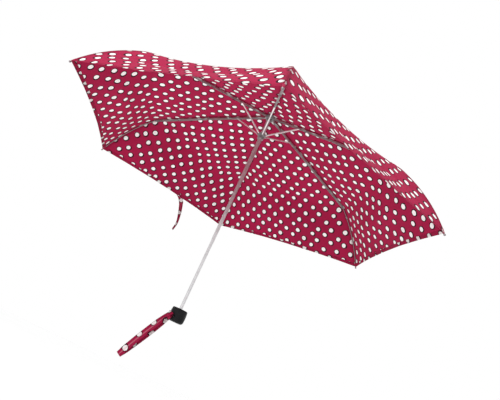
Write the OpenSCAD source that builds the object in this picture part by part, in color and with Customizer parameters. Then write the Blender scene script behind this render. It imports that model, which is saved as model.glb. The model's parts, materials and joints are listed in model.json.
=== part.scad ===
// Compact three-section folding umbrella for a child: six folding ribs, telescopic
// shaft, slim cup handle with a wrist loop. Millimetres, +Z along the shaft from the
// handle to the crown, origin at the centre of the handle. Modelled open.

/* [Canopy and ribs] */
// Number of ribs
rib_n = 6; // [6:1:6]
// Radius of the canopy at the rib tips
tip_r = 440; // [420:5:445]
// Height of the rib tips above the handle's centre
hem_z = 321; // [315:1:330]
// Radius of the outer knuckle, between middle and end rib
knuckle_r = 320; // [316:1:326]
// Height of the outer knuckle above the tips
knuckle_h = 119; // [116:1:126]
// Radius of the inner knuckle, between top and middle rib
elbow_r = 163; // [161:1:165]
// Height of the inner knuckle above the tips
elbow_h = 153; // [151:1:155]
// Height of the crown pivots above the tips
crown_h = 184; // [183:1:185]
// Angle that an end rib's wire bends through
end_bend = 28; // [26:1:34]
// Thickness of the canopy cloth
cloth_t = 0.4; // [0.3:0.1:0.6]
// Height of the curve in the hem between two tips
hem_rise = 10; // [8:1:14]

/* [Shaft] */
// Outer diameter of the upper tube
upper_d = 9; // [9:0.1:9.2]
// Height at which the upper tube ends
upper_end_z = 337; // [336:0.5:338]
// Height at which the middle tube ends
middle_end_z = 177.5; // [177:0.5:178]
// Wall of every tube
tube_wall = 0.5; // [0.45:0.05:0.5]
// Radial running gap between two tubes
slide_gap = 0.05; // [0.03:0.01:0.08]
// Length of a tube held in the next one
tube_overlap = 14; // [12:1:15]

/* [Runner] */
// Depth of the runner's pivots below the crown's
runner_drop = 50; // [48:1:52]
// Distance along a top rib to its strut
strut_x = 76.5; // [75:0.5:78]

/* [Handle] */
// Height of the handle
handle_h = 29; // [28:1:32]
// Largest diameter of the handle
handle_d = 35; // [31:1:36]

/* [Wrist loop] */
// Length of the wrist loop, from its pin to its end
loop_l = 133; // [120:1:140]
// Width of the loop's strap
loop_w = 12; // [8:1:14]

/* [Hidden] */
$fn = 48;
fine = 0.05;
hinge_r = 8;
crown_z = hem_z + crown_h;
runner_z = crown_z - runner_drop;
upper_r = upper_d / 2;
middle_r = upper_r - tube_wall - slide_gap;
lower_r = middle_r - tube_wall - slide_gap;
upper_top_z = crown_z + 9;
handle_top = handle_h / 2;

function rib_azimuth(i) = 270 - 60 * i;
function gore_azimuth(i) = rib_azimuth(i) - 30;

// A rib's side view: radius, then height above the tips
crown_p = [hinge_r, crown_h];
elbow_p = [elbow_r, elbow_h];
knuckle_p = [knuckle_r, knuckle_h];
tip_p = [tip_r, 0];
function slope(a, b) = atan2(a[1] - b[1], b[0] - a[0]);
top_slope = slope(crown_p, elbow_p);
mid_slope = slope(elbow_p, knuckle_p);
end_slope = slope(knuckle_p, tip_p);
top_l = norm(elbow_p - crown_p);
mid_l = norm(knuckle_p - elbow_p);
end_r = norm(tip_p - knuckle_p) / 2 / sin(end_bend / 2);

// Rib sections: a top rib runs inside a middle rib's ears, a strut inside a top rib
sheet_t = 0.5;
rib_h = 3.4;
top_w = 4.2;
mid_w = 5.4;
strut_w = 2.6;
eye_w = 1.8;
wire_r = 1;
elbow_lift = 2.6;
pivot_drop = 0.5;
rivet_r = 0.7;
pin_gap = 0.08;
ring_wire_r = 0.5;

// Pivots that two ribs share
elbow_pivot = elbow_p + elbow_lift * [sin(top_slope), cos(top_slope)];
knuckle_pivot = knuckle_p - pivot_drop * [sin(mid_slope), cos(mid_slope)];

// Strut, from its pivot on the top rib to the runner's ring
strut_p = crown_p
    + strut_x * [cos(top_slope), -sin(top_slope)]
    - pivot_drop * [sin(top_slope), cos(top_slope)];
strut_foot = [hinge_r, crown_h - runner_drop];
strut_slope = slope(strut_foot, strut_p);
strut_l = norm(strut_p - strut_foot);

// Cloth, seen along a gore's middle: it clears the ribs by these heights
gore_half = 30;
gore_gap = 0.3;
crown_clear = 5.2;
elbow_clear = 5;
knuckle_clear = 3;
cloth_hole_r = 9;
cloth_crown = [cloth_hole_r, crown_h + crown_clear];
cloth_elbow = elbow_p + elbow_clear * [sin(top_slope), cos(top_slope)];
cloth_knuckle = knuckle_p + knuckle_clear * [sin(mid_slope), cos(mid_slope)];
cloth_tip = tip_p + knuckle_clear * [sin(end_slope + end_bend / 2), cos(end_slope + end_bend / 2)];
hem_steps = 8;
hem_half = tip_r / 2;
hem_cut_r = (hem_half * hem_half + hem_rise * hem_rise) / (2 * hem_rise);

// ---- shared shapes ----

module tube(r, z0, z1) {
    difference() {
        translate([0, 0, z0]) cylinder(r = r, h = z1 - z0);
        translate([0, 0, z0 - 1]) cylinder(r = r - tube_wall, h = z1 - z0 + 2);
    }
}

// Window in a tube, on its +X side, for a spring catch
catch_l = 7;
catch_half = 24;
catch_out = 0.55;
module catch_block(r, z, grow) {
    translate([r - 2, -r * sin(catch_half) - grow, z - grow])
        cube([4, 2 * (r * sin(catch_half) + grow), catch_l + 2 * grow]);
}

// Sprung tongue of a tube's wall, standing proud of it
module tongue(r, z, out) {
    translate([out, 0, 0])
        intersection() {
            tube(r, z - 1, z + catch_l + 1);
            catch_block(r, z, 0);
        }
}

// Turns a shape across the rib, about which every rib pivot turns
module across(w) {
    rotate([90, 0, 0]) translate([0, 0, -w / 2]) children();
}

module cross_rod(r, w) {
    across(w) cylinder(r = r, h = w);
}

// Pressed channel, open below, from x0 to x1
module channel(x0, x1, w) {
    difference() {
        translate([x0, -w / 2, -rib_h / 2]) cube([x1 - x0, w, rib_h]);
        translate([x0 - 1, -w / 2 + sheet_t, -rib_h / 2 - 1])
            cube([x1 - x0 + 2, w - 2 * sheet_t, rib_h + 1 - sheet_t]);
    }
}

// Places a shape in rib i's own plane, at a point of its side view, sloping down
module on_rib(i, p, down) {
    rotate([0, 0, rib_azimuth(i)])
        translate([p[0], 0, hem_z + p[1]])
            rotate([0, down, 0]) children();
}

// Headed rivet through a pivot
module rivet(w) {
    cross_rod(rivet_r, w + 1);
    for (side = [-1, 1])
        translate([0, side * (w / 2 + 0.45), 0]) cross_rod(1.3, 0.5);
}

// ---- handle ----

plug_r = 9;
plug_h = 6;
plug_neck_r = 6.2;
rivet_hole_r = 1.1;
module handle_grip() {
    wall = 2.2;
    r = handle_d / 2;
    color([0.09, 0.09, 0.1])
        difference() {
            rotate_extrude()
                polygon(concat(
                    [[0, handle_top], [r - 3.4, handle_top]],
                    [for (a = [75:-25:0]) [r - 3.2 + 2.2 * cos(a), handle_top - 2.2 + 2.2 * sin(a)]],
                    [[r - 0.35, handle_top - 7], [r, 0], [r - 0.3, -handle_top + 7.5]],
                    [for (a = [0:-18:-90]) [r - 6.5 + 6 * cos(a), -handle_top + 6 + 6 * sin(a)]],
                    [[0, -handle_top]]
                ));
            translate([0, 0, -handle_top - 1]) cylinder(r = plug_r, h = handle_h);
            translate([0, 0, -handle_top + plug_h])
                cylinder(r = r - 3.4 - wall / 2, h = handle_h - plug_h - wall - 1);
            cylinder(r = lower_r + fine, h = handle_h);
        }
}

module handle_plug() {
    color([0.14, 0.14, 0.15])
        difference() {
            union() {
                translate([0, 0, -handle_top]) cylinder(r = plug_r - fine, h = plug_h);
                translate([0, 0, -handle_top + plug_h - 1])
                    cylinder(r = plug_neck_r, h = handle_h - plug_h - 2.3);
            }
            translate([0, 0, -handle_top + 3]) cylinder(r = lower_r + fine, h = handle_h);
            cross_rod(rivet_hole_r, 30);
        }
}

module handle_rivet() {
    color("silver") cross_rod(rivet_hole_r - fine, 2 * plug_neck_r + 1.2);
}

// Wire staple on the handle's side, and the loop's place on it
loop_azimuth = 232;
loop_tilt = -25;
staple_r = 0.9;
staple_reach = 4;
staple_half = loop_w / 2 + 1.2;
module at_loop() {
    rotate([0, 0, loop_azimuth])
        translate([handle_d / 2 + staple_reach, 0, -1])
            rotate([loop_tilt, 0, 0]) children();
}

module loop_staple() {
    color([0.12, 0.12, 0.13])
        at_loop() {
            cross_rod(staple_r, 2 * staple_half + 2 * staple_r);
            for (side = [-1, 1])
                translate([-staple_reach - 2, side * staple_half, 0])
                    rotate([0, 90, 0]) cylinder(r = staple_r, h = staple_reach + 2);
        }
}

// Folded strap: an eye round the staple, then two layers that open into a loop
loop_lean = 13;
loop_open = 9;
strap_t = 1.2;
eye_r = staple_r + 0.4;
function loop_gap(s) = eye_r + (loop_open - eye_r) * sin(180 * min(1, max(0, s)) ^ 0.8);
module wrist_loop() {
    steps = 12;
    outer = [for (k = [0:steps]) [loop_gap(k / steps) + strap_t, -loop_l * k / steps]];
    inner = [for (k = [0:steps]) [loop_gap(k / steps), -(loop_l - strap_t) * k / steps]];
    color([0.72, 0.12, 0.28])
        at_loop() rotate([0, -loop_lean, 0])
            difference() {
                union() {
                    across(loop_w) linear_extrude(loop_w)
                        polygon(concat(outer, [for (k = [steps:-1:0]) [-outer[k][0], outer[k][1]]]));
                    cross_rod(eye_r + strap_t, loop_w);
                }
                across(loop_w + 2) linear_extrude(loop_w + 2)
                    polygon(concat(inner, [for (k = [steps:-1:0]) [-inner[k][0], inner[k][1]]]));
                cross_rod(eye_r, loop_w + 2);
            }
}

// ---- shaft ----

lower_catch_z = middle_end_z - catch_l - 1;
middle_catch_z = upper_end_z - catch_l - 1;
runner_catch_z = runner_z - 12 - catch_l;

module lower_tube() {
    color([0.82, 0.83, 0.85])
        difference() {
            tube(lower_r, -handle_top + 3, middle_end_z + tube_overlap);
            catch_block(lower_r, lower_catch_z, 0.15);
            cross_rod(rivet_hole_r, 30);
        }
}

module lower_catch() {
    color("silver") tongue(lower_r, lower_catch_z, catch_out);
}

module middle_tube() {
    color([0.82, 0.83, 0.85])
        difference() {
            tube(middle_r, middle_end_z, upper_end_z + tube_overlap);
            catch_block(middle_r, middle_catch_z, 0.15);
        }
}

module middle_catch() {
    color("silver") tongue(middle_r, middle_catch_z, catch_out);
}

module upper_tube() {
    color([0.86, 0.87, 0.88])
        difference() {
            tube(upper_r, upper_end_z, upper_top_z);
            catch_block(upper_r, runner_catch_z, 0.15);
        }
}

module runner_catch() {
    color("silver") tongue(upper_r, runner_catch_z, 0.9);
}

// ---- crown ----

hub_r = 11;
hub_sleeve_r = 6;
hub_slot_gap = 0.3;

// Six radial slots with the rib eyes in them, cut out of a hub
module hub_slots(w, r, z) {
    for (i = [1:rib_n])
        rotate([0, 0, rib_azimuth(i)])
            translate([r, -w / 2, z - 20]) cube([40, w, 40]);
}

module ring_wire(z) {
    translate([0, 0, z])
        rotate_extrude() translate([hinge_r, 0]) circle(r = ring_wire_r, $fn = 24);
}

// Square groove that the ring wire lies in
module ring_groove(z) {
    side = 2 * (ring_wire_r + fine);
    translate([0, 0, z])
        rotate_extrude() translate([hinge_r, 0]) square(side, center = true);
}

module top_notch() {
    color([0.88, 0.88, 0.88])
        difference() {
            union() {
                translate([0, 0, crown_z - 3]) cylinder(r = hub_r, h = 6.6);
                translate([0, 0, crown_z - 9]) cylinder(r = hub_sleeve_r, h = 7);
            }
            translate([0, 0, crown_z - 20]) cylinder(r = upper_r + fine / 2, h = 40);
            hub_slots(eye_w + 2 * hub_slot_gap, hub_sleeve_r - hub_slot_gap, crown_z);
            ring_groove(crown_z);
        }
}

module notch_ring() {
    color("silver") ring_wire(crown_z);
}

// Ferrule over the top of the tube: the cloth is held in the neck above its base disc
cap_base_r = 8.6;
cap_base_z = crown_z + 3.7;
cap_base_h = 1.2;
cap_neck_r = 6.6;
cap_z = crown_z + 5.9;
cap_flange_r = 12;
cap_r = 7;
cap_h = 13;
cap_round = 3;
module top_cap() {
    low = cap_base_z - cap_z;
    color([0.88, 0.88, 0.88])
        difference() {
            translate([0, 0, cap_z])
                rotate_extrude()
                    polygon(concat(
                        [[0, low], [cap_base_r, low], [cap_base_r, low + cap_base_h]],
                        [[cap_neck_r, low + cap_base_h], [cap_neck_r, 0]],
                        [[cap_flange_r, 0], [cap_flange_r, 0.9], [9.4, 1.9], [cap_r, 2.6]],
                        [for (a = [0:15:90])
                            [cap_r, cap_h] + cap_round * [cos(a) - 1, sin(a) - 1]],
                        [[0, cap_h]]
                    ));
            translate([0, 0, crown_z]) cylinder(r = upper_r + fine / 2, h = upper_top_z - crown_z + 0.1);
        }
}

// ---- runner ----

runner_gap = 0.06;
runner_sleeve_l = 15;
runner_flange_r = 7.4;
runner_hub_h = 5.2;
module runner() {
    color([0.86, 0.86, 0.87])
        difference() {
            union() {
                translate([0, 0, runner_z - 11]) cylinder(r = hub_sleeve_r, h = runner_sleeve_l);
                translate([0, 0, runner_z - 11]) cylinder(r = runner_flange_r, h = runner_hub_h / 2);
            }
            translate([0, 0, runner_z - 20]) cylinder(r = upper_r + runner_gap, h = 40);
        }
}

module runner_hub() {
    color([0.86, 0.86, 0.87])
        difference() {
            translate([0, 0, runner_z - runner_hub_h / 2]) cylinder(r = hub_r, h = runner_hub_h);
            translate([0, 0, runner_z - 20]) cylinder(r = hub_sleeve_r + fine, h = 40);
            hub_slots(strut_w + 0.8, hub_sleeve_r + 0.8, runner_z);
            ring_groove(runner_z);
        }
}

module runner_ring() {
    color("silver") ring_wire(runner_z);
}

// ---- folding ribs ----

module top_rib(i) {
    color([0.78, 0.79, 0.81])
        on_rib(i, crown_p, top_slope) {
            difference() {
                union() {
                    cross_rod(1.9, eye_w);
                    translate([0, -eye_w / 2, -1.4]) cube([8, eye_w, 2.8]);
                    channel(6, top_l + 1.5, top_w);
                    for (side = [-1, 1])
                        translate([top_l, side * (top_w / 2 - sheet_t / 2), 0])
                            cross_lug(elbow_lift, sheet_t);
                }
                cross_rod(0.85, 10);
                translate([top_l, 0, elbow_lift]) cross_rod(rivet_r, 10);
                translate([strut_x, 0, -pivot_drop]) cross_rod(rivet_r, 10);
            }
            translate([top_l, 0, elbow_lift]) rivet(mid_w);
            translate([strut_x, 0, -pivot_drop]) rivet(top_w);
        }
}

// Rounded ear that carries a pivot above the rib's web
module cross_lug(lift, t) {
    translate([0, 0, lift]) cross_rod(1.6, t);
    translate([-1.6, -t / 2, -0.5]) cube([3.2, t, lift + 0.5]);
}

// The strut's foot is a flat tongue that passes under the runner's ring wire
foot_l = 9;
foot_t = 0.65;
module strut(i) {
    color([0.78, 0.79, 0.81])
        on_rib(i, strut_foot, strut_slope)
            difference() {
                union() {
                    translate([-0.9, -strut_w / 2, -ring_wire_r - fine - foot_t])
                        cube([foot_l, strut_w, foot_t]);
                    translate([foot_l - 1.5, -strut_w / 2, -1.2])
                        cube([strut_l - foot_l + 1.5, strut_w, 2.4]);
                    translate([strut_l, 0, 0]) cross_rod(1.45, strut_w);
                }
                translate([strut_l, 0, 0]) cross_rod(rivet_r + pin_gap, 10);
                translate([10, -strut_w / 2 + 0.5, -2]) cube([strut_l - 20, strut_w - 1, 2.6]);
            }
}

module middle_rib(i) {
    web_from = 6.5;
    ear_y = (mid_w - sheet_t) / 2;
    color([0.78, 0.79, 0.81]) {
        difference() {
            on_rib(i, elbow_p, mid_slope) {
                channel(web_from, mid_l, mid_w);
                for (side = [-1, 1])
                    translate([0, side * ear_y, 0]) {
                        cross_lug(elbow_lift, sheet_t);
                        translate([-1.6, -sheet_t / 2, -0.5]) cube([web_from + 2, sheet_t, 2.2]);
                        translate([mid_l - 1, -sheet_t / 2, -rib_h / 2]) cube([2.6, sheet_t, rib_h]);
                    }
            }
            on_rib(i, elbow_pivot, 0) cross_rod(rivet_r + pin_gap, 10);
            on_rib(i, knuckle_pivot, 0) cross_rod(rivet_r, 10);
        }
        on_rib(i, knuckle_pivot, 0) rivet(mid_w);
    }
}

// Wire rib with a flat eye at its knuckle and a bead at the canopy's corner
module end_rib(i) {
    eye_r = 1.5;
    eye_w = 3.6;
    bead_r = 2.2;
    color([0.8, 0.81, 0.82])
        difference() {
            union() {
                on_rib(i, knuckle_pivot, 0) cross_rod(eye_r, eye_w);
                on_rib(i, knuckle_p, end_slope - end_bend / 2)
                    translate([0, 0, -end_r]) rotate([90, 0, 0]) rotate([0, 0, 90 - end_bend])
                        rotate_extrude(angle = end_bend)
                            translate([end_r, 0]) circle(r = wire_r, $fn = 24);
                on_rib(i, tip_p, 0) sphere(r = bead_r);
            }
            on_rib(i, knuckle_pivot, 0) cross_rod(rivet_r + pin_gap, 10);
        }
}

// ---- canopy ----

// A gore's side view is foreshortened: its middle is nearer than the ribs
function inward(p) = [p[0] * cos(gore_half), p[1]];
function thick(points) = concat(points, [for (k = [len(points) - 1:-1:0]) points[k] + [0, cloth_t]]);
function hem_point(a) =
    knuckle_p + [
        end_r * (sin(a) - sin(end_slope - end_bend / 2)) + knuckle_clear * sin(a),
        end_r * (cos(a) - cos(end_slope - end_bend / 2)) + knuckle_clear * cos(a)
    ];

// Flat-sided wedge of one gore between two distances from the shaft
module gore_wedge(u0, u1) {
    half = tan(gore_half);
    trim = gore_gap / cos(gore_half);
    polygon([
        [u0, u0 * half - trim], [u1, u1 * half - trim],
        [u1, -u1 * half + trim], [u0, -u0 * half + trim]
    ]);
}

module gore(i, points) {
    u0 = points[0][0];
    u1 = points[len(points) - 1][0];
    rotate([0, 0, gore_azimuth(i)])
        translate([0, 0, hem_z])
            intersection() {
                rotate([90, 0, 0]) translate([0, 0, -tip_r])
                    linear_extrude(2 * tip_r) polygon(thick(points));
                translate([0, 0, -20]) linear_extrude(crown_h + 60) gore_wedge(u0, u1);
            }
}

module canopy_top(i) {
    color([0.78, 0.13, 0.3])
        gore(i, [inward(cloth_crown), inward(cloth_elbow) - [gore_gap, 0]]);
}

module canopy_middle(i) {
    color([0.74, 0.12, 0.28])
        gore(i, [inward(cloth_elbow) + [gore_gap, 0], inward(cloth_knuckle) - [gore_gap, 0]]);
}

module canopy_hem(i) {
    start = end_slope - end_bend / 2;
    rim = [for (k = [0:hem_steps]) inward(hem_point(start + end_bend * k / hem_steps))];
    color([0.8, 0.16, 0.34])
        difference() {
            gore(i, concat([rim[0] + [gore_gap, 0]], [for (k = [1:hem_steps]) rim[k]]));
            rotate([0, 0, gore_azimuth(i)])
                translate([0, 0, hem_z + hem_rise - hem_cut_r])
                    rotate([0, 90, 0]) cylinder(r = hem_cut_r, h = tip_r, $fn = 240);
        }
}

// Tie band: sewn by one end outside a gore, it lies along the cloth, then hangs free.
// Its end and its bend are given as along the hem, then up from the tips.
strap_gore = 2;
strap_w = 13;
strap_thick = 0.8;
strap_end = [24, 33];
strap_bend = [-57, 6];
strap_fall = 98;
strap_hang = 13;
strap_face = 58;
module closing_strap() {
    run = strap_end - strap_bend;
    lie = atan(run[1] / sin(strap_face) / run[0]);
    lie_l = norm([run[0], run[1] / sin(strap_face)]);
    color([0.66, 0.1, 0.25])
        rotate([0, 0, gore_azimuth(strap_gore)])
            translate([tip_r * cos(gore_half) + 4, strap_bend[0], hem_z + strap_bend[1]]) {
                rotate([0, strap_face - 90, 0]) rotate([lie, 0, 0])
                    translate([0, -strap_w / 2, -strap_w / 2])
                        cube([strap_thick, lie_l + strap_w / 2, strap_w]);
                rotate([-strap_hang, 0, 0])
                    translate([0, -strap_w / 2, -strap_fall]) cube([strap_thick, strap_w, strap_fall + 3]);
            }
}

// ---- one line for each node ----

handle_grip();
handle_plug();
handle_rivet();
loop_staple();
wrist_loop();
lower_tube();
lower_catch();
middle_tube();
middle_catch();
upper_tube();
runner_catch();
top_notch();
notch_ring();
top_cap();
runner();
runner_hub();
runner_ring();
closing_strap();
for (i = [1:rib_n]) {
    top_rib(i);
    strut(i);
    middle_rib(i);
    end_rib(i);
    canopy_top(i);
    canopy_middle(i);
    canopy_hem(i);
}
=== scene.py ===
"""Looks of the folding umbrella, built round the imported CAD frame. Metres, +Z from handle to crown."""
import json
import math

import bpy
from mathutils import Matrix, Vector


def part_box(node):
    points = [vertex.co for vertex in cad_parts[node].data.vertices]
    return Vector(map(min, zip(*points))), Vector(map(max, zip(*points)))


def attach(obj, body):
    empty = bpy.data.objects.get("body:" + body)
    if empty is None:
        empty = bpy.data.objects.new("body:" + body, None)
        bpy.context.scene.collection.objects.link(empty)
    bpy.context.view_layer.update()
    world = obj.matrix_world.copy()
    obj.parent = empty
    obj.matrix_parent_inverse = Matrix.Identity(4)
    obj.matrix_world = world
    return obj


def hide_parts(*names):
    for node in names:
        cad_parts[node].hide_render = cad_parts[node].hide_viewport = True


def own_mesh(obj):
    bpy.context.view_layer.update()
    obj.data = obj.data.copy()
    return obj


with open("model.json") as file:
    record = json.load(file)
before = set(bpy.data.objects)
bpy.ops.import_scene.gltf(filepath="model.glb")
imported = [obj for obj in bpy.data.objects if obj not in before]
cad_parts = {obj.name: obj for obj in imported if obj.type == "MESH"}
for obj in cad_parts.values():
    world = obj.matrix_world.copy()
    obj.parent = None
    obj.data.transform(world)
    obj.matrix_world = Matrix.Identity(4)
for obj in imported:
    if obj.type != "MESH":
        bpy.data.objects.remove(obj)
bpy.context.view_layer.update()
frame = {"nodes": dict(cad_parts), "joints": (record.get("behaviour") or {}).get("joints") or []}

MM = 0.001
RIBS = range(1, 7)
ZONES = ("top", "middle", "hem")
GORE_HALF = math.radians(30)

# Shape of the cloth that the frame doesn't give
WIRE_BEND = math.radians(28)
CORNER_BACK = 2.6 * MM
CORNER_LIFT = 1.4 * MM
SAG_ELBOW = 3 * MM
SAG_KNUCKLE = 13 * MM
SAG_OUTER = 22 * MM
SAG_HEM = 6 * MM
HEM_SCALLOP = 8 * MM
ZONE_LENGTH = 160 * MM
RIPPLE_PITCH = 19 * MM
BEAD_RADIUS = 2.2 * MM
HEM_WIDTH = 7 * MM

# Steps of the cloth's grid
PANEL_ROWS = {"top": 15, "middle": 21, "hem": 29}
PANEL_COLUMNS = 41
ARC_STEPS = 120

# Print
DOT_PITCH = 26.5 * MM
DOT_RADIUS = 5.4 * MM
LATTICE_TURN = math.radians(41)
GORE_PRINT_STEP = (0.37, 0.19)

# Straps
LOOP_LENGTH = 130 * MM
LOOP_GAP = 5.5 * MM
LOOP_HALF_WIDTH = 6.9 * MM
LOOP_TWIST = math.radians(-20)
STAPLE_CLEARANCE = 2.1 * MM
CLOSING_HALF_WIDTH = 6.3 * MM

joint_of = {j["name"]: j for j in frame["joints"]}


def joint_point(name):
    return Vector(joint_of[name]["pos_m"])


def rib_azimuth(i):
    return math.radians(270 - 60 * i)


def gore_azimuth(i):
    return rib_azimuth(i) - GORE_HALF


def outwards(azimuth):
    return Vector((math.cos(azimuth), math.sin(azimuth), 0))


def along_hem(azimuth):
    return Vector((-math.sin(azimuth), math.cos(azimuth), 0))


def smooth(x):
    x = min(1.0, max(0.0, x))
    return x * x * (3 - 2 * x)


def between(x, stops):
    """Piecewise linear value at x, from (x, value) stops."""
    for (x0, v0), (x1, v1) in zip(stops, stops[1:]):
        if x <= x1:
            return v0 + (v1 - v0) * max(0.0, (x - x0) / (x1 - x0))
    return stops[-1][1]


# ---- the canopy's surface ----

def rib_stations():
    """Cloth over a rib: crown, elbow, knuckle and corner, as (radius, height)."""
    stations = []
    for zone in ZONES:
        fold = joint_point(f"canopy_{zone}_6_fold")
        stations.append(Vector((fold.xy.length / math.cos(GORE_HALF), fold.z)))
    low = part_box("end_rib_6")[0]
    tip = Vector((-low.y - BEAD_RADIUS, low.z + BEAD_RADIUS))
    chord = tip - stations[-1]
    slope = math.atan2(-chord.y, chord.x) + WIRE_BEND / 2
    along = Vector((math.cos(slope), -math.sin(slope)))
    outward = Vector((math.sin(slope), math.cos(slope)))
    stations.append(tip - along * CORNER_BACK + outward * CORNER_LIFT)
    return stations


CROWN, ELBOW, KNUCKLE, CORNER = rib_stations()


def wire_curve(f):
    """Point of the outer curve, at share f of the way from knuckle to corner."""
    chord = CORNER - KNUCKLE
    radius = chord.length / 2 / math.sin(WIRE_BEND / 2)
    start = math.atan2(-chord.y, chord.x) - WIRE_BEND / 2
    turn = start + WIRE_BEND * f
    out, down = math.sin(turn) - math.sin(start), math.cos(turn) - math.cos(start)
    return KNUCKLE + radius * Vector((out, down))


def taut_profile(s):
    """Cloth along a rib with sharp knuckles."""
    if s <= 1:
        return CROWN.lerp(ELBOW, s)
    if s <= 2:
        return ELBOW.lerp(KNUCKLE, s - 1)
    return wire_curve(s - 2)


def rib_profile(s):
    """Cloth along a rib at station s, from 0 at the crown to 3 at the corner, with eased knuckles."""
    widest, crown_end, corner_end = 0.07, 0.9, 2.98
    if s < crown_end or s > corner_end:
        return taut_profile(s)
    reach = min(widest, 3 - s)
    spread = [taut_profile(s + reach * k / 3) for k in range(-3, 4)]
    return sum(spread, Vector((0, 0))) / len(spread)


def profile_frame(s):
    """(point, direction towards the hem, upward normal) of the rib profile."""
    step = 0.01
    a, b = rib_profile(max(0, s - step)), rib_profile(min(3, s + step))
    d = (b - a).normalized()
    return rib_profile(s), d, Vector((-d.y, d.x))


def sag(s):
    """Depth of the cloth's middle below the chord between two ribs."""
    return between(s, ((0, 0), (1, SAG_ELBOW), (2, SAG_KNUCKLE), (2.5, SAG_OUTER), (3, SAG_HEM)))


def pucker(s, t, length):
    """Small tension folds that run in from the seams, and a slight drape near the hem."""
    edge = 1 - abs(t)
    near_seam = math.exp(-(edge * 9) ** 1.3) * smooth(edge * 22)
    ripple = math.sin(length / RIPPLE_PITCH * math.pi + 2.1 * math.sin(9 * s)) * 0.7 * MM
    near_hem = smooth((s - 2.55) / 0.45) * (1 - t * t)
    drape = math.sin(t * 17 + 3 * s) * 0.9 * MM + math.sin(t * 7.3 - 2 * s) * 1.2 * MM
    return ripple * near_seam + drape * near_hem * 0.6


def gore_point(i, s, t):
    """Point of gore i: t runs from -1 to 1 between its two ribs."""
    p, d, n = profile_frame(s)
    mid = 1 - t * t
    scallop = HEM_SCALLOP * smooth(s - 2) * mid
    drop = sag(s) * mid - pucker(s, t, s * ZONE_LENGTH)
    u = p.x * math.cos(GORE_HALF) - drop * n.x - scallop * d.x
    z = p.y - drop * n.y - scallop * d.y
    v = p.x * math.sin(GORE_HALF) * t
    azimuth = gore_azimuth(i)
    return outwards(azimuth) * u + along_hem(azimuth) * v + Vector((0, 0, z))


def arc_lengths():
    """Distance from the crown at even steps of s, down a gore's middle."""
    lengths, last = [0.0], gore_point(1, 0, 0)
    for k in range(1, 3 * ARC_STEPS + 1):
        p = gore_point(1, k / ARC_STEPS, 0)
        lengths.append(lengths[-1] + (p - last).length)
        last = p
    return lengths


ARC = arc_lengths()


def arc_length(s):
    """Distance from the crown at station s, down a gore's middle."""
    x = min(s, 3) * ARC_STEPS
    k = min(int(x), len(ARC) - 2)
    return ARC[k] + (ARC[k + 1] - ARC[k]) * (x - k)


# ---- mesh helpers ----

def new_object(name, verts, faces, material, smooth_shaded=True):
    """Object of one mesh and one material."""
    mesh = bpy.data.meshes.new(name)
    mesh.from_pydata([tuple(v) for v in verts], [], faces)
    mesh.materials.append(material)
    if smooth_shaded:
        mesh.shade_smooth()
    obj = bpy.data.objects.new(name, mesh)
    bpy.context.scene.collection.objects.link(obj)
    return obj


def grid(rows, columns):
    """Quads of a grid of points stored row by row."""
    faces = []
    for r in range(rows - 1):
        for c in range(columns - 1):
            a = r * columns + c
            faces.append((a, a + 1, a + columns + 1, a + columns))
    return faces


def add_uv(mesh, name, values):
    """UV map with one value a vertex."""
    layer = mesh.uv_layers.new(name=name)
    for loop in mesh.loops:
        layer.data[loop.index].uv = values[loop.vertex_index]


def tube(points, radius, sides):
    """(verts, faces) of a round tube along points, with flat ends."""
    verts, faces = [], []
    count = len(points)
    side = None
    for k, p in enumerate(points):
        d = (points[min(k + 1, count - 1)] - points[max(k - 1, 0)]).normalized()
        if side is None:
            side = d.orthogonal().normalized()
        side = (side - d * side.dot(d)).normalized()
        other = d.cross(side)
        for j in range(sides):
            a = 2 * math.pi * j / sides
            verts.append(p + radius * (math.cos(a) * side + math.sin(a) * other))
    for k in range(count - 1):
        for j in range(sides):
            a, b = k * sides + j, k * sides + (j + 1) % sides
            faces.append((a, b, b + sides, a + sides))
    faces.append(tuple(range(sides - 1, -1, -1)))
    faces.append(tuple((count - 1) * sides + j for j in range(sides)))
    return verts, faces


# ---- materials ----

class Nodes:
    """Short way to build a material's nodes."""

    def __init__(self, name):
        self.material = bpy.data.materials.new(name)
        self.material.use_nodes = True
        self.tree = self.material.node_tree
        self.tree.nodes.clear()
        self.output = self.tree.nodes.new("ShaderNodeOutputMaterial")

    def add(self, kind, inputs=None, **settings):
        node = self.tree.nodes.new("ShaderNode" + kind)
        for key, value in settings.items():
            setattr(node, key, value)
        for key, value in (inputs or {}).items():
            if isinstance(value, bpy.types.NodeSocket):
                self.tree.links.new(value, node.inputs[key])
            else:
                node.inputs[key].default_value = value
        return node

    def math(self, operation, a, b=0.0, c=0.0):
        return self.add("Math", {0: a, 1: b, 2: c}, operation=operation).outputs[0]

    def mix(self, share, a, b):
        node = self.add("Mix", {"Factor": share}, data_type="RGBA")
        for name, value in (("A", a), ("B", b)):
            socket = [s for s in node.inputs if s.name == name and s.type == "RGBA"][0]
            if isinstance(value, bpy.types.NodeSocket):
                self.tree.links.new(value, socket)
            else:
                socket.default_value = value
        return [s for s in node.outputs if s.type == "RGBA"][0]

    def ramp(self, value, low, high):
        """Smooth step: 0 at low, 1 at high."""
        inputs = {"Value": value, "From Min": low, "From Max": high}
        return self.add("MapRange", inputs, interpolation_type="SMOOTHSTEP").outputs[0]

    def finish(self, surface):
        self.tree.links.new(surface, self.output.inputs["Surface"])
        return self.material


RED = (0.315, 0.0095, 0.05, 1)
# DEEP_RED also colours the painted shade near seams and along sewn folds.
DEEP_RED = (0.14, 0.003, 0.02, 1)
WHITE = (0.8, 0.79, 0.77, 1)
INK = (0.03, 0.006, 0.012, 1)
MARK_GREY = (0.2, 0.18, 0.18, 1)
SEAM_THREAD = (0.16, 0.006, 0.02, 1)
STRAP_THREAD = (0.55, 0.2, 0.25, 1)


def tinted(base, share, lift=0.0):
    """Base colour made darker or lighter, never past white."""
    return [min(1, c * share + lift) for c in base[:3]] + [1]


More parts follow.
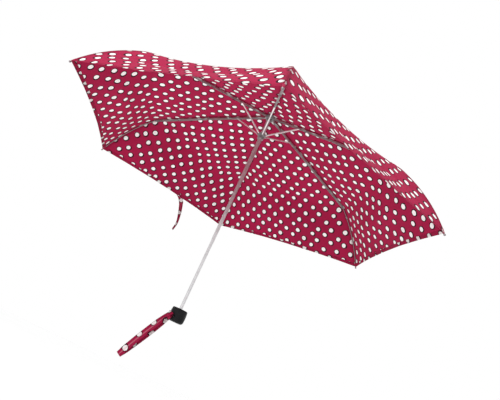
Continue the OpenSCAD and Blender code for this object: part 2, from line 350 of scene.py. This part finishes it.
def weave_height(n, coords, thread):
    """Plain weave: crossing threads that go over and under."""
    settings = {"Vector": coords, "Scale": 1 / thread / 2, "Distortion": 0.4}
    warp, weft = (n.add("TexWave", settings, bands_direction=way).outputs["Fac"] for way in "XY")
    return n.math("MAXIMUM", warp, weft)


def spots(n, coords, pitch, radius):
    """(white, ink, inner mark) masks of uneven spots on a slightly irregular square lattice."""
    turned = n.add("Mapping", {"Vector": coords, "Rotation": (0, 0, LATTICE_TURN)}).outputs[0]
    wobble = n.add("TexNoise", {"Vector": turned, "Scale": 95.0, "Detail": 1.0}).outputs["Color"]
    shifted = n.add("VectorMath", {0: wobble, 1: (2.2 * MM, 2.2 * MM, 2.2 * MM), 2: turned},
                    operation="MULTIPLY_ADD").outputs[0]

    def cell(vector):
        return n.add("TexVoronoi", {"Vector": vector, "Scale": 1 / pitch, "Randomness": 0.22},
                     voronoi_dimensions="2D", feature="F1").outputs

    cells = cell(shifted)
    r = radius / pitch
    size = n.math("MULTIPLY_ADD", cells["Color"], 0.16, 0.93)
    dist = n.math("DIVIDE", cells["Distance"], size)
    white = n.ramp(dist, r * 1.04, r * 0.96)
    moved = n.add("VectorMath", {0: shifted, 1: (1.7 * MM, 1.1 * MM, 0)}, operation="ADD").outputs[0]
    behind = n.math("DIVIDE", cell(moved)["Distance"], size)
    shadow, ring = (n.ramp(d, r * 1.44, r * 1.26) for d in (behind, dist))
    ink = n.math("MAXIMUM", shadow, ring)
    chosen = n.math("GREATER_THAN", n.add("SeparateColor", {"Color": cells["Color"]}).outputs[1], 0.86)
    hole = n.ramp(n.math("ABSOLUTE", n.math("SUBTRACT", dist, r * 0.42)), r * 0.14, r * 0.05)
    return white, ink, n.math("MULTIPLY", hole, chosen)


# Stitch lines: (axis of the edge map, inset from the edge, thread colour)
CANOPY_STITCHES = ((0, 2.2 * MM, SEAM_THREAD), (1, 7.5 * MM, SEAM_THREAD))
STRAP_STITCHES = ((0, 6.2 * MM, STRAP_THREAD),)


def cloth_material(name, base, stitches, seam_shade):
    """Printed woven polyester with stitched edges, with painted shade within seam_shade of a seam and along
    each sewn fold.
    """
    n = Nodes(name)
    flat = n.add("UVMap", uv_map="flat").outputs[0]
    white, ink, mark = spots(n, flat, DOT_PITCH, DOT_RADIUS)
    cloudy = n.add("TexNoise", {"Vector": flat, "Scale": 7.0, "Detail": 4.0}).outputs["Fac"]
    ground = n.mix(n.ramp(cloudy, 0.3, 0.75), base, tinted(base, 0.86))
    colour = n.mix(ink, ground, INK)
    colour = n.mix(white, colour, WHITE)
    colour = n.mix(n.math("MULTIPLY", mark, 0.45), colour, MARK_GREY)
    height = n.math("MULTIPLY", weave_height(n, flat, 0.45 * MM), 0.25)
    edges = n.add("SeparateXYZ", {"Vector": n.add("UVMap", uv_map="edges").outputs[0]})
    # Painted shade: within seam_shade of a rib seam or a strap's edge the cloth is mixed towards DEEP_RED,
    # standing in for the shade of the folds there.
    near_seam = n.ramp(edges.outputs[0], seam_shade, 0.0)
    colour = n.mix(n.math("MULTIPLY", near_seam, 0.55), colour, DEEP_RED)
    for axis, inset, thread in stitches:
        edge = edges.outputs[axis]
        line = n.ramp(n.math("ABSOLUTE", n.math("SUBTRACT", edge, inset)), 0.75 * MM, 0.3 * MM)
        # Each sewn fold is raised in the bump, and it is also painted slightly towards DEEP_RED: painted
        # shade along the fold.
        fold = n.ramp(edge, inset * 1.25, inset * 0.9)
        colour = n.mix(n.math("MULTIPLY", fold, 0.1), colour, DEEP_RED)
        colour = n.mix(n.math("MULTIPLY", line, 0.5), colour, thread)
        height = n.math("ADD", height, n.math("MULTIPLY", fold, 0.6))
        height = n.math("SUBTRACT", height, n.math("MULTIPLY", line, 0.8))
    bump = n.add("Bump", {"Height": height, "Strength": 0.35, "Distance": 0.4 * MM})
    surface = n.add("BsdfPrincipled", {
        "Base Color": colour, "Roughness": 0.75, "Sheen Weight": 0.04, "Sheen Roughness": 0.5,
        "Sheen Tint": (1, 0.45, 0.55, 1), "Specular IOR Level": 0.07, "Normal": bump.outputs[0]})
    glow = n.add("BsdfTranslucent", {"Color": colour, "Normal": bump.outputs[0]})
    both = n.add("MixShader", {0: 0.22, 1: surface.outputs[0], 2: glow.outputs[0]})
    return n.finish(both.outputs[0])


def plain_cloth(name, base):
    """Unprinted binding cloth or thread, with painted shade between its woven threads."""
    n = Nodes(name)
    where = n.add("TexCoord").outputs["Object"]
    threads = weave_height(n, where, 0.5 * MM)
    # Painted shade: the low places of the weave, between the threads, are coloured darker.
    colour = n.mix(threads, tinted(base, 0.7), base)
    bump = n.add("Bump", {"Height": threads, "Strength": 0.4, "Distance": 0.3 * MM})
    surface = n.add("BsdfPrincipled", {"Base Color": colour, "Roughness": 0.8, "Sheen Weight": 0.05,
                                       "Specular IOR Level": 0.1, "Normal": bump.outputs[0]})
    return n.finish(surface.outputs[0])


def metal(name, base, roughness, grain):
    """Drawn or pressed metal: fine lines, longest where grain is smallest, and slight dulling."""
    n = Nodes(name)
    where = n.add("TexCoord").outputs["Object"]
    stretched = n.add("Mapping", {"Vector": where, "Scale": grain}).outputs[0]
    lines = n.add("TexNoise", {"Vector": stretched, "Scale": 900.0, "Detail": 3.0}).outputs["Fac"]
    marks = n.add("TexNoise", {"Vector": where, "Scale": 60.0, "Detail": 5.0}).outputs["Fac"]
    colour = n.mix(n.ramp(marks, 0.35, 0.8), base, tinted(base, 0.8))
    rough = n.math("MULTIPLY_ADD", marks, 0.2, roughness - 0.1)
    bump = n.add("Bump", {"Height": lines, "Strength": 0.03, "Distance": 0.02 * MM})
    surface = n.add("BsdfPrincipled", {"Base Color": colour, "Metallic": 0.85, "Roughness": rough,
                                       "Normal": bump.outputs[0]})
    return n.finish(surface.outputs[0])


def plastic(name, base, roughness, grain_size, gloss=0.5):
    """Moulded plastic with a fine spark-eroded grain and rubbed patches."""
    n = Nodes(name)
    where = n.add("TexCoord").outputs["Object"]
    grain = n.add("TexNoise", {"Vector": where, "Scale": 1 / grain_size, "Detail": 2.0}).outputs["Fac"]
    rubbed = n.add("TexNoise", {"Vector": where, "Scale": 45.0, "Detail": 3.0}).outputs["Fac"]
    colour = n.mix(n.ramp(rubbed, 0.4, 0.75), base, tinted(base, 1.25, 0.004))
    rough = n.math("MULTIPLY_ADD", rubbed, -0.16, roughness + 0.08)
    bump = n.add("Bump", {"Height": grain, "Strength": 0.25, "Distance": 0.12 * MM})
    surface = n.add("BsdfPrincipled", {"Base Color": colour, "Roughness": rough,
                                       "Specular IOR Level": gloss, "Normal": bump.outputs[0]})
    return n.finish(surface.outputs[0])


def floor_material():
    """Almost white backing paper."""
    n = Nodes("floor_paper")
    where = n.add("TexCoord").outputs["Object"]
    mottle = n.add("TexNoise", {"Vector": where, "Scale": 3.0, "Detail": 2.0}).outputs["Fac"]
    colour = n.mix(mottle, (0.97, 0.97, 0.97, 1), (1, 1, 1, 1))
    return n.finish(n.add("BsdfPrincipled", {"Base Color": colour, "Roughness": 0.9}).outputs[0])


# ---- canopy pieces ----

def zone_stations(zone, rows):
    """Even stations s over one zone."""
    first = ZONES.index(zone)
    return [first + k / (rows - 1) for k in range(rows)]


def across_panel(t):
    """Column positions over a gore, from -t to t."""
    return [(2 * c / (PANEL_COLUMNS - 1) - 1) * t for c in range(PANEL_COLUMNS)]


def edge_distance(radius, t):
    """Distance from a gore's nearest rib seam."""
    return radius * math.sin(GORE_HALF) * (1 - abs(t))


def print_place(i, radius, t, down):
    """Place on the printed cloth; each gore is cut from another part of it."""
    return (radius * math.sin(GORE_HALF) * t + GORE_PRINT_STEP[0] * i, down + GORE_PRINT_STEP[1] * i)


def canopy_panel(i, zone, material):
    """One zone of gore i, as curved cloth."""
    rows = PANEL_ROWS[zone]
    verts, flat, edges = [], [], []
    for s in zone_stations(zone, rows):
        radius = rib_profile(s).x
        for t in across_panel(1):
            verts.append(gore_point(i, s, t))
            flat.append(print_place(i, radius, t, arc_length(s)))
            edges.append((edge_distance(radius, t), ARC[-1] - arc_length(s)))
    faces = grid(rows, PANEL_COLUMNS)
    panel = new_object(f"canopy_cloth_{zone}_{i}", verts, faces, material)
    add_uv(panel.data, "flat", flat)
    add_uv(panel.data, "edges", edges)
    return panel


def fold_with_gore(piece, i, zone):
    """The piece rides on its flap."""
    body = f"canopy_{zone}_{i}"
    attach(piece, body)
    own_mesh(piece)


def hem_band(i, material):
    """Hem turned up on the inside of the cloth."""
    rows, lift = 4, 0.35 * MM
    verts, flat, edges = [], [], []
    for row in range(rows):
        up = row / (rows - 1) * HEM_WIDTH
        s = 3 - up / (ARC[-1] - arc_length(2))
        n = profile_frame(s)[2]
        upward = outwards(gore_azimuth(i)) * n.x + Vector((0, 0, n.y))
        height = lift * (0.4 if row in (0, rows - 1) else 1)
        for t in across_panel(0.985):
            verts.append(gore_point(i, s, t) - upward * height)
            flat.append(print_place(i, CORNER.x, t, ARC[-1] + up))
            edges.append((edge_distance(CORNER.x, t) + 4 * MM, up))
    hem = new_object(f"hem_band_{i}", verts, grid(rows, PANEL_COLUMNS), material)
    add_uv(hem.data, "flat", flat)
    add_uv(hem.data, "edges", edges)
    return hem


def make_canopy(print_cloth):
    """Six gores of three zones, each folding on its own body."""
    for i in RIBS:
        for zone in ZONES:
            panel = canopy_panel(i, zone, print_cloth)
            if zone == "hem":
                hem = hem_band(i, print_cloth)
                fold_with_gore(hem, i, zone)
            fold_with_gore(panel, i, zone)
            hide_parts(f"canopy_{zone}_{i}")


# ---- small fittings on the ribs ----

def rib_point(i, radius, height):
    """Point in the plane of rib i."""
    return outwards(rib_azimuth(i)) * radius + Vector((0, 0, height))


def rib_tie(name, i, body, centre, direction, thread):
    """A few turns of thread that sew the cloth to a rib."""
    wide, high, lift, pitch, thread_radius = 3.1 * MM, 2.7 * MM, 0.5 * MM, 0.7 * MM, 0.3 * MM
    turns, steps = 3, 14
    side = along_hem(rib_azimuth(i))
    up = side.cross(direction).normalized()
    if up.z < 0:
        up = -up
    points = []
    for k in range(turns * steps + 1):
        a = 2 * math.pi * k / steps
        across = side * wide * math.cos(a) + up * (lift + high * math.sin(a))
        points.append(centre + across + direction * (k / steps - turns / 2) * pitch)
    verts, faces = tube(points, thread_radius, 5)
    tie = new_object(f"rib_tie_{name}_{i}", verts, faces, thread)
    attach(tie, body)


def make_ties(thread):
    """One tie on each top rib and each middle rib."""
    for i in RIBS:
        crown, elbow, knuckle = (joint_point(f"{kind}_rib_{i}_fold") for kind in ("top", "middle", "end"))
        for name, start, end, share in (("top", crown, elbow, 0.62), ("middle", elbow, knuckle, 0.55)):
            direction = (end - start).normalized()
            rib_tie(name, i, f"{name}_rib_{i}", start.lerp(end, share), direction, thread)


def make_tip_pockets(binding):
    """Cloth corner sewn round each rib's end, behind its bead."""
    rings, sides, drop = 7, 12, 1.6 * MM
    end, before = rib_profile(3), rib_profile(2.94)
    d = (end - before).normalized()
    normal = Vector((-d.y, d.x))
    for i in RIBS:
        verts, faces = [], []
        for k in range(rings):
            f = k / (rings - 1)
            centre = before.lerp(end, f) - normal * drop
            wide, high = (2.6 - 1.2 * f) * MM, (1.9 - 0.3 * f) * MM
            for j in range(sides):
                a = 2 * math.pi * j / sides
                p = centre + normal * high * math.sin(a)
                verts.append(rib_point(i, p.x, p.y) + along_hem(rib_azimuth(i)) * wide * math.cos(a))
                if k < rings - 1:
                    here, beside = sides * k + j, sides * k + (j + 1) % sides
                    faces.append((here, beside, beside + sides, here + sides))
        pocket = new_object(f"tip_pocket_{i}", verts, faces, binding)
        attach(pocket, f"end_rib_{i}")


# ---- straps ----

def band(name, centres, across, thick, material, rows=7):
    """Flat closed strap: centres is its line, across gives its half width vector at each point."""
    print_offset, layer_offset, end_inset = 4 * MM, 10 * MM, 20 * MM
    verts, flat, edges, normals = [], [], [], []
    count = len(centres)
    for k, p in enumerate(centres):
        d = centres[min(k + 1, count - 1)] - centres[max(k - 1, 0)]
        normals.append(d.cross(across[k]).normalized())
    for side in (1, -1):
        run = 0.0
        for k, p in enumerate(centres):
            run += (p - centres[k - 1]).length if k else 0
            for c in range(rows):
                t = 2 * c / (rows - 1) - 1
                height = thick / 2 * (1 - 0.75 * abs(t) ** 3)
                verts.append(p + across[k] * t + normals[k] * side * height)
                half = across[k].length
                flat.append((t * half + print_offset + layer_offset * side, run))
                edges.append((half * (1 - abs(t)), run + end_inset))
    faces = grid(count, rows)
    offset = count * rows
    faces += [tuple(offset + v for v in reversed(f)) for f in grid(count, rows)]
    rim = [(k * rows, (k + 1) * rows) for k in range(count - 1)]
    rim += [((k + 1) * rows + rows - 1, k * rows + rows - 1) for k in range(count - 1)]
    rim += [(c + 1, c) for c in range(rows - 1)]
    rim += [(offset - rows + c, offset - rows + c + 1) for c in range(rows - 1)]
    faces += [(a, b, b + offset, a + offset) for a, b in rim]
    obj = new_object(name, verts, faces, material)
    add_uv(obj.data, "flat", flat)
    add_uv(obj.data, "edges", edges)
    return obj


def curve_through(points, steps):
    """Smooth line through points, as an even Catmull-Rom curve."""
    padded = [points[0] * 2 - points[1]] + points + [points[-1] * 2 - points[-2]]
    line = []
    for a, b, c, d in zip(padded, padded[1:], padded[2:], padded[3:]):
        for k in range(steps):
            f = k / steps
            line.append(0.5 * ((2 * b) + (c - a) * f + (2 * a - 5 * b + 4 * c - d) * f * f
                               + (3 * b - a - 3 * c + d) * f ** 3))
    return line + [points[-1]]


def wrist_loop_line(eye, down, open_way, across):
    """(points, half width vectors) of the loop: down one layer, back up the other and over the staple."""
    stops, eye_stops = 26, 6
    line, widths = [], []
    for side, share in ((1, 1), (-1, 0.75)):
        layer = []
        for k in range(stops + 1):
            f = k / stops
            gap = STAPLE_CLEARANCE + LOOP_GAP * math.sin(math.pi * f ** 0.8) * share
            gap *= 1 - 0.8 * smooth((f - 0.86) / 0.14)
            turn = Matrix.Rotation(LOOP_TWIST * smooth(f / 0.3), 3, down)
            sway = turn @ across * math.sin(3.2 * f) * 0.7 * MM * side
            width = LOOP_HALF_WIDTH * (0.74 + 0.26 * smooth(f / 0.3)) * (1 - 0.1 * smooth((f - 0.9) / 0.1))
            place = eye + down * LOOP_LENGTH * f + turn @ open_way * side * gap + sway
            layer.append((place, turn @ across * width))
        for place, width in layer[::side]:
            line.append(place)
            widths.append(width)
    for k in range(1, eye_stops):
        a = math.pi * k / eye_stops
        line.append(eye - (down * math.sin(a) + open_way * math.cos(a)) * STAPLE_CLEARANCE)
        widths.append(widths[0])
    return line + line[:1], widths + widths[:1]


def make_wrist_loop(strap_cloth, binding):
    """Folded band of the canopy's cloth: two layers from the staple, joined at the far end."""
    swing = joint_of["wrist_loop_swing"]
    eye = joint_point("wrist_loop_swing")
    low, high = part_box("wrist_loop")
    across = Vector(swing["axis"]).normalized()
    down = (low + high) / 2 - eye
    down = (down - across * down.dot(across)).normalized()
    open_way = across.cross(down).normalized()
    line, widths = wrist_loop_line(eye, down, open_way, across)
    loop = band("wrist_strap", line, widths, 1.1 * MM, strap_cloth)
    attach(loop, "wrist_loop")
    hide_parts("wrist_loop")
    collar = make_loop_collar(eye, down, open_way, across, binding)


def make_loop_collar(eye, down, open_way, across, binding):
    """Stitched wrap that holds the two layers together under the staple."""
    steps, half_length = 20, 3.2 * MM
    centre = eye + down * 9 * MM
    points = []
    for k in range(steps + 1):
        a = 2 * math.pi * k / steps
        points.append(centre + open_way * 3.9 * MM * math.cos(a) + across * 6.1 * MM * math.sin(a))
    widths = [down * half_length] * len(points)
    collar = band("wrist_strap_collar", points, widths, 0.8 * MM, binding, rows=5)
    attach(collar, "wrist_loop")
    return collar


def closing_strap_line(out, side):
    """Smooth line of the strap: along the outside of the cloth, over the hem and down with a curl."""
    hem_u = rib_profile(3).x * math.cos(GORE_HALF) / MM
    places = ((-15, 26, 35), (-9, -6, 24.5), (-2.5, -40, 12), (2.5, -60, 0),
              (4.5, -71, -20), (4.5, -79, -46), (3.5, -82, -68), (2, -78, -90))
    points = [out * (hem_u + u) * MM + side * v * MM + Vector((0, 0, CORNER.y + z * MM))
              for u, v, z in places]
    return curve_through(points, 7)


def closing_strap_widths(line, out):
    """Half width vectors: flat on the cloth, then turned edge on and narrower as the strap hangs."""
    turn, narrowing = math.radians(-38), 1.2 * MM
    widths = []
    count = len(line)
    for k in range(count):
        d = line[min(k + 1, count - 1)] - line[max(k - 1, 0)]
        f = k / (count - 1)
        face = out if f > 0.5 else (out * (1 - f) + Vector((0, 0, 1)) * 0.4).normalized()
        twist = Matrix.Rotation(turn * smooth((f - 0.5) / 0.5), 3, d.normalized())
        width = CLOSING_HALF_WIDTH - narrowing * smooth((f - 0.5) / 0.3)
        widths.append(twist @ d.cross(face).normalized() * width)
    return widths


def make_closing_strap(strap_cloth):
    """Tie band sewn outside gore 2: it lies along the cloth, then hangs off the hem with a curl."""
    out, side = outwards(gore_azimuth(2)), along_hem(gore_azimuth(2))
    line = closing_strap_line(out, side)
    widths = closing_strap_widths(line, out)
    strap = band("closing_band", line, widths, 0.8 * MM, strap_cloth)
    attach(strap, "closing_strap")
    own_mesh(strap)
    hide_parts("closing_strap")


# ---- carried-over CAD pieces ----

def dress(names, material):
    """Give the CAD pieces of these names a material."""
    for name in names:
        node = frame["nodes"][name]
        node.data.materials.clear()
        node.data.materials.append(material)


def dress_frame():
    """Materials of the frame, shaft and handle."""
    along_shaft, along_ribs, even = (1, 1, 0.04), (0.3, 0.3, 1), (0.3, 0.3, 0.3)
    bright = metal("shaft_metal", (0.66, 0.65, 0.66, 1), 0.32, along_shaft)
    # Painted shade: the end ribs' wire is coloured dark and reddish, standing in for the cloth folded round
    # it and the shade there.
    painted_shade_wire = metal("end_rib_wire_painted_shade", (0.24, 0.2, 0.21, 1), 0.34, even)
    steel = metal("rib_steel", (0.5, 0.48, 0.49, 1), 0.38, along_ribs)
    wire = metal("wire_steel", (0.6, 0.58, 0.6, 1), 0.28, even)
    # Painted highlight: the struts' metal is coloured near white with a pink tint, standing in for their
    # bright highlights and the red cloth's reflection on them.
    painted_highlight_metal = metal("strut_metal_painted_highlight", (0.92, 0.88, 0.89, 1), 0.45, along_ribs)
    black = plastic("black_plastic", (0.004, 0.004, 0.005, 1), 0.5, 0.5 * MM, 0.14)
    grey = plastic("pale_plastic", (0.2, 0.185, 0.19, 1), 0.34, 0.8 * MM)
    dress(["lower_tube", "middle_tube", "upper_tube", "lower_catch", "middle_catch", "runner_catch"], bright)
    dress(["handle_grip", "handle_plug", "loop_staple"], black)
    dress(["top_notch", "top_cap", "runner", "runner_hub"], grey)
    dress(["handle_rivet", "notch_ring", "runner_ring"], wire)
    dress([f"end_rib_{i}" for i in RIBS], painted_shade_wire)
    dress([f"{kind}_{i}" for kind in ("top_rib", "middle_rib") for i in RIBS], steel)
    dress([f"strut_{i}" for i in RIBS], painted_highlight_metal)


# ---- studio ----

def make_floor():
    """Plain pale floor below the umbrella."""
    reach, height = 9.0, -0.9
    verts = [(x * reach, y * reach, height) for x, y in ((-1, -1), (1, -1), (1, 1), (-1, 1))]
    floor = new_object("floor", verts, [(0, 1, 2, 3)], floor_material(), False)


def make_world():
    """Even white surroundings."""
    world = bpy.data.worlds.new("studio")
    world.use_nodes = True
    background = world.node_tree.nodes["Background"]
    background.inputs["Color"].default_value = (1, 1, 1, 1)
    background.inputs["Strength"].default_value = 1.0
    bpy.context.scene.world = world


def area_light(name, place, target, size, power):
    """Round soft light aimed at target."""
    light = bpy.data.lights.new(name, "AREA")
    light.shape, light.size, light.energy = "DISK", size, power
    obj = bpy.data.objects.new(name, light)
    obj.location = place
    obj.rotation_euler = (Vector(target) - Vector(place)).to_track_quat("-Z", "Y").to_euler()
    bpy.context.scene.collection.objects.link(obj)


def make_camera():
    """Low view from the handle's side, rolled so that the shaft leans."""
    camera = bpy.data.cameras.new("view")
    camera.lens, camera.sensor_width = 34.37, 36.0
    camera.shift_x, camera.shift_y = 0.0471, -0.0154
    camera.clip_end = 60
    obj = bpy.data.objects.new("view", camera)
    obj.location = (0.0041, -1.0281, -0.0443)
    obj.rotation_euler = [math.radians(a) for a in (109.754, -24.027, -7.092)]
    bpy.context.scene.collection.objects.link(obj)
    bpy.context.scene.camera = obj


def make_studio():
    """Floor, light and camera; the standard view keeps the surroundings white."""
    bpy.context.scene.view_settings.view_transform = "Standard"
    make_floor()
    make_world()
    area_light("key", (-0.9, -1.5, 2.0), (0, 0, 0.3), size=1.6, power=52)
    area_light("under_fill", (-0.7, -1.4, -0.5), (0, 0.1, 0.4), size=1.2, power=6)
    make_camera()


def main():
    print_cloth = cloth_material("canopy_cloth", RED, CANOPY_STITCHES, seam_shade=13 * MM)
    strap_cloth = cloth_material("strap_cloth", RED, STRAP_STITCHES, seam_shade=1.5 * MM)
    binding = plain_cloth("binding_cloth", RED)
    make_canopy(print_cloth)
    make_ties(plain_cloth("sewing_thread", DEEP_RED))
    make_tip_pockets(binding)
    make_wrist_loop(strap_cloth, binding)
    make_closing_strap(strap_cloth)
    dress_frame()
    make_studio()
    bpy.context.view_layer.update()


main()
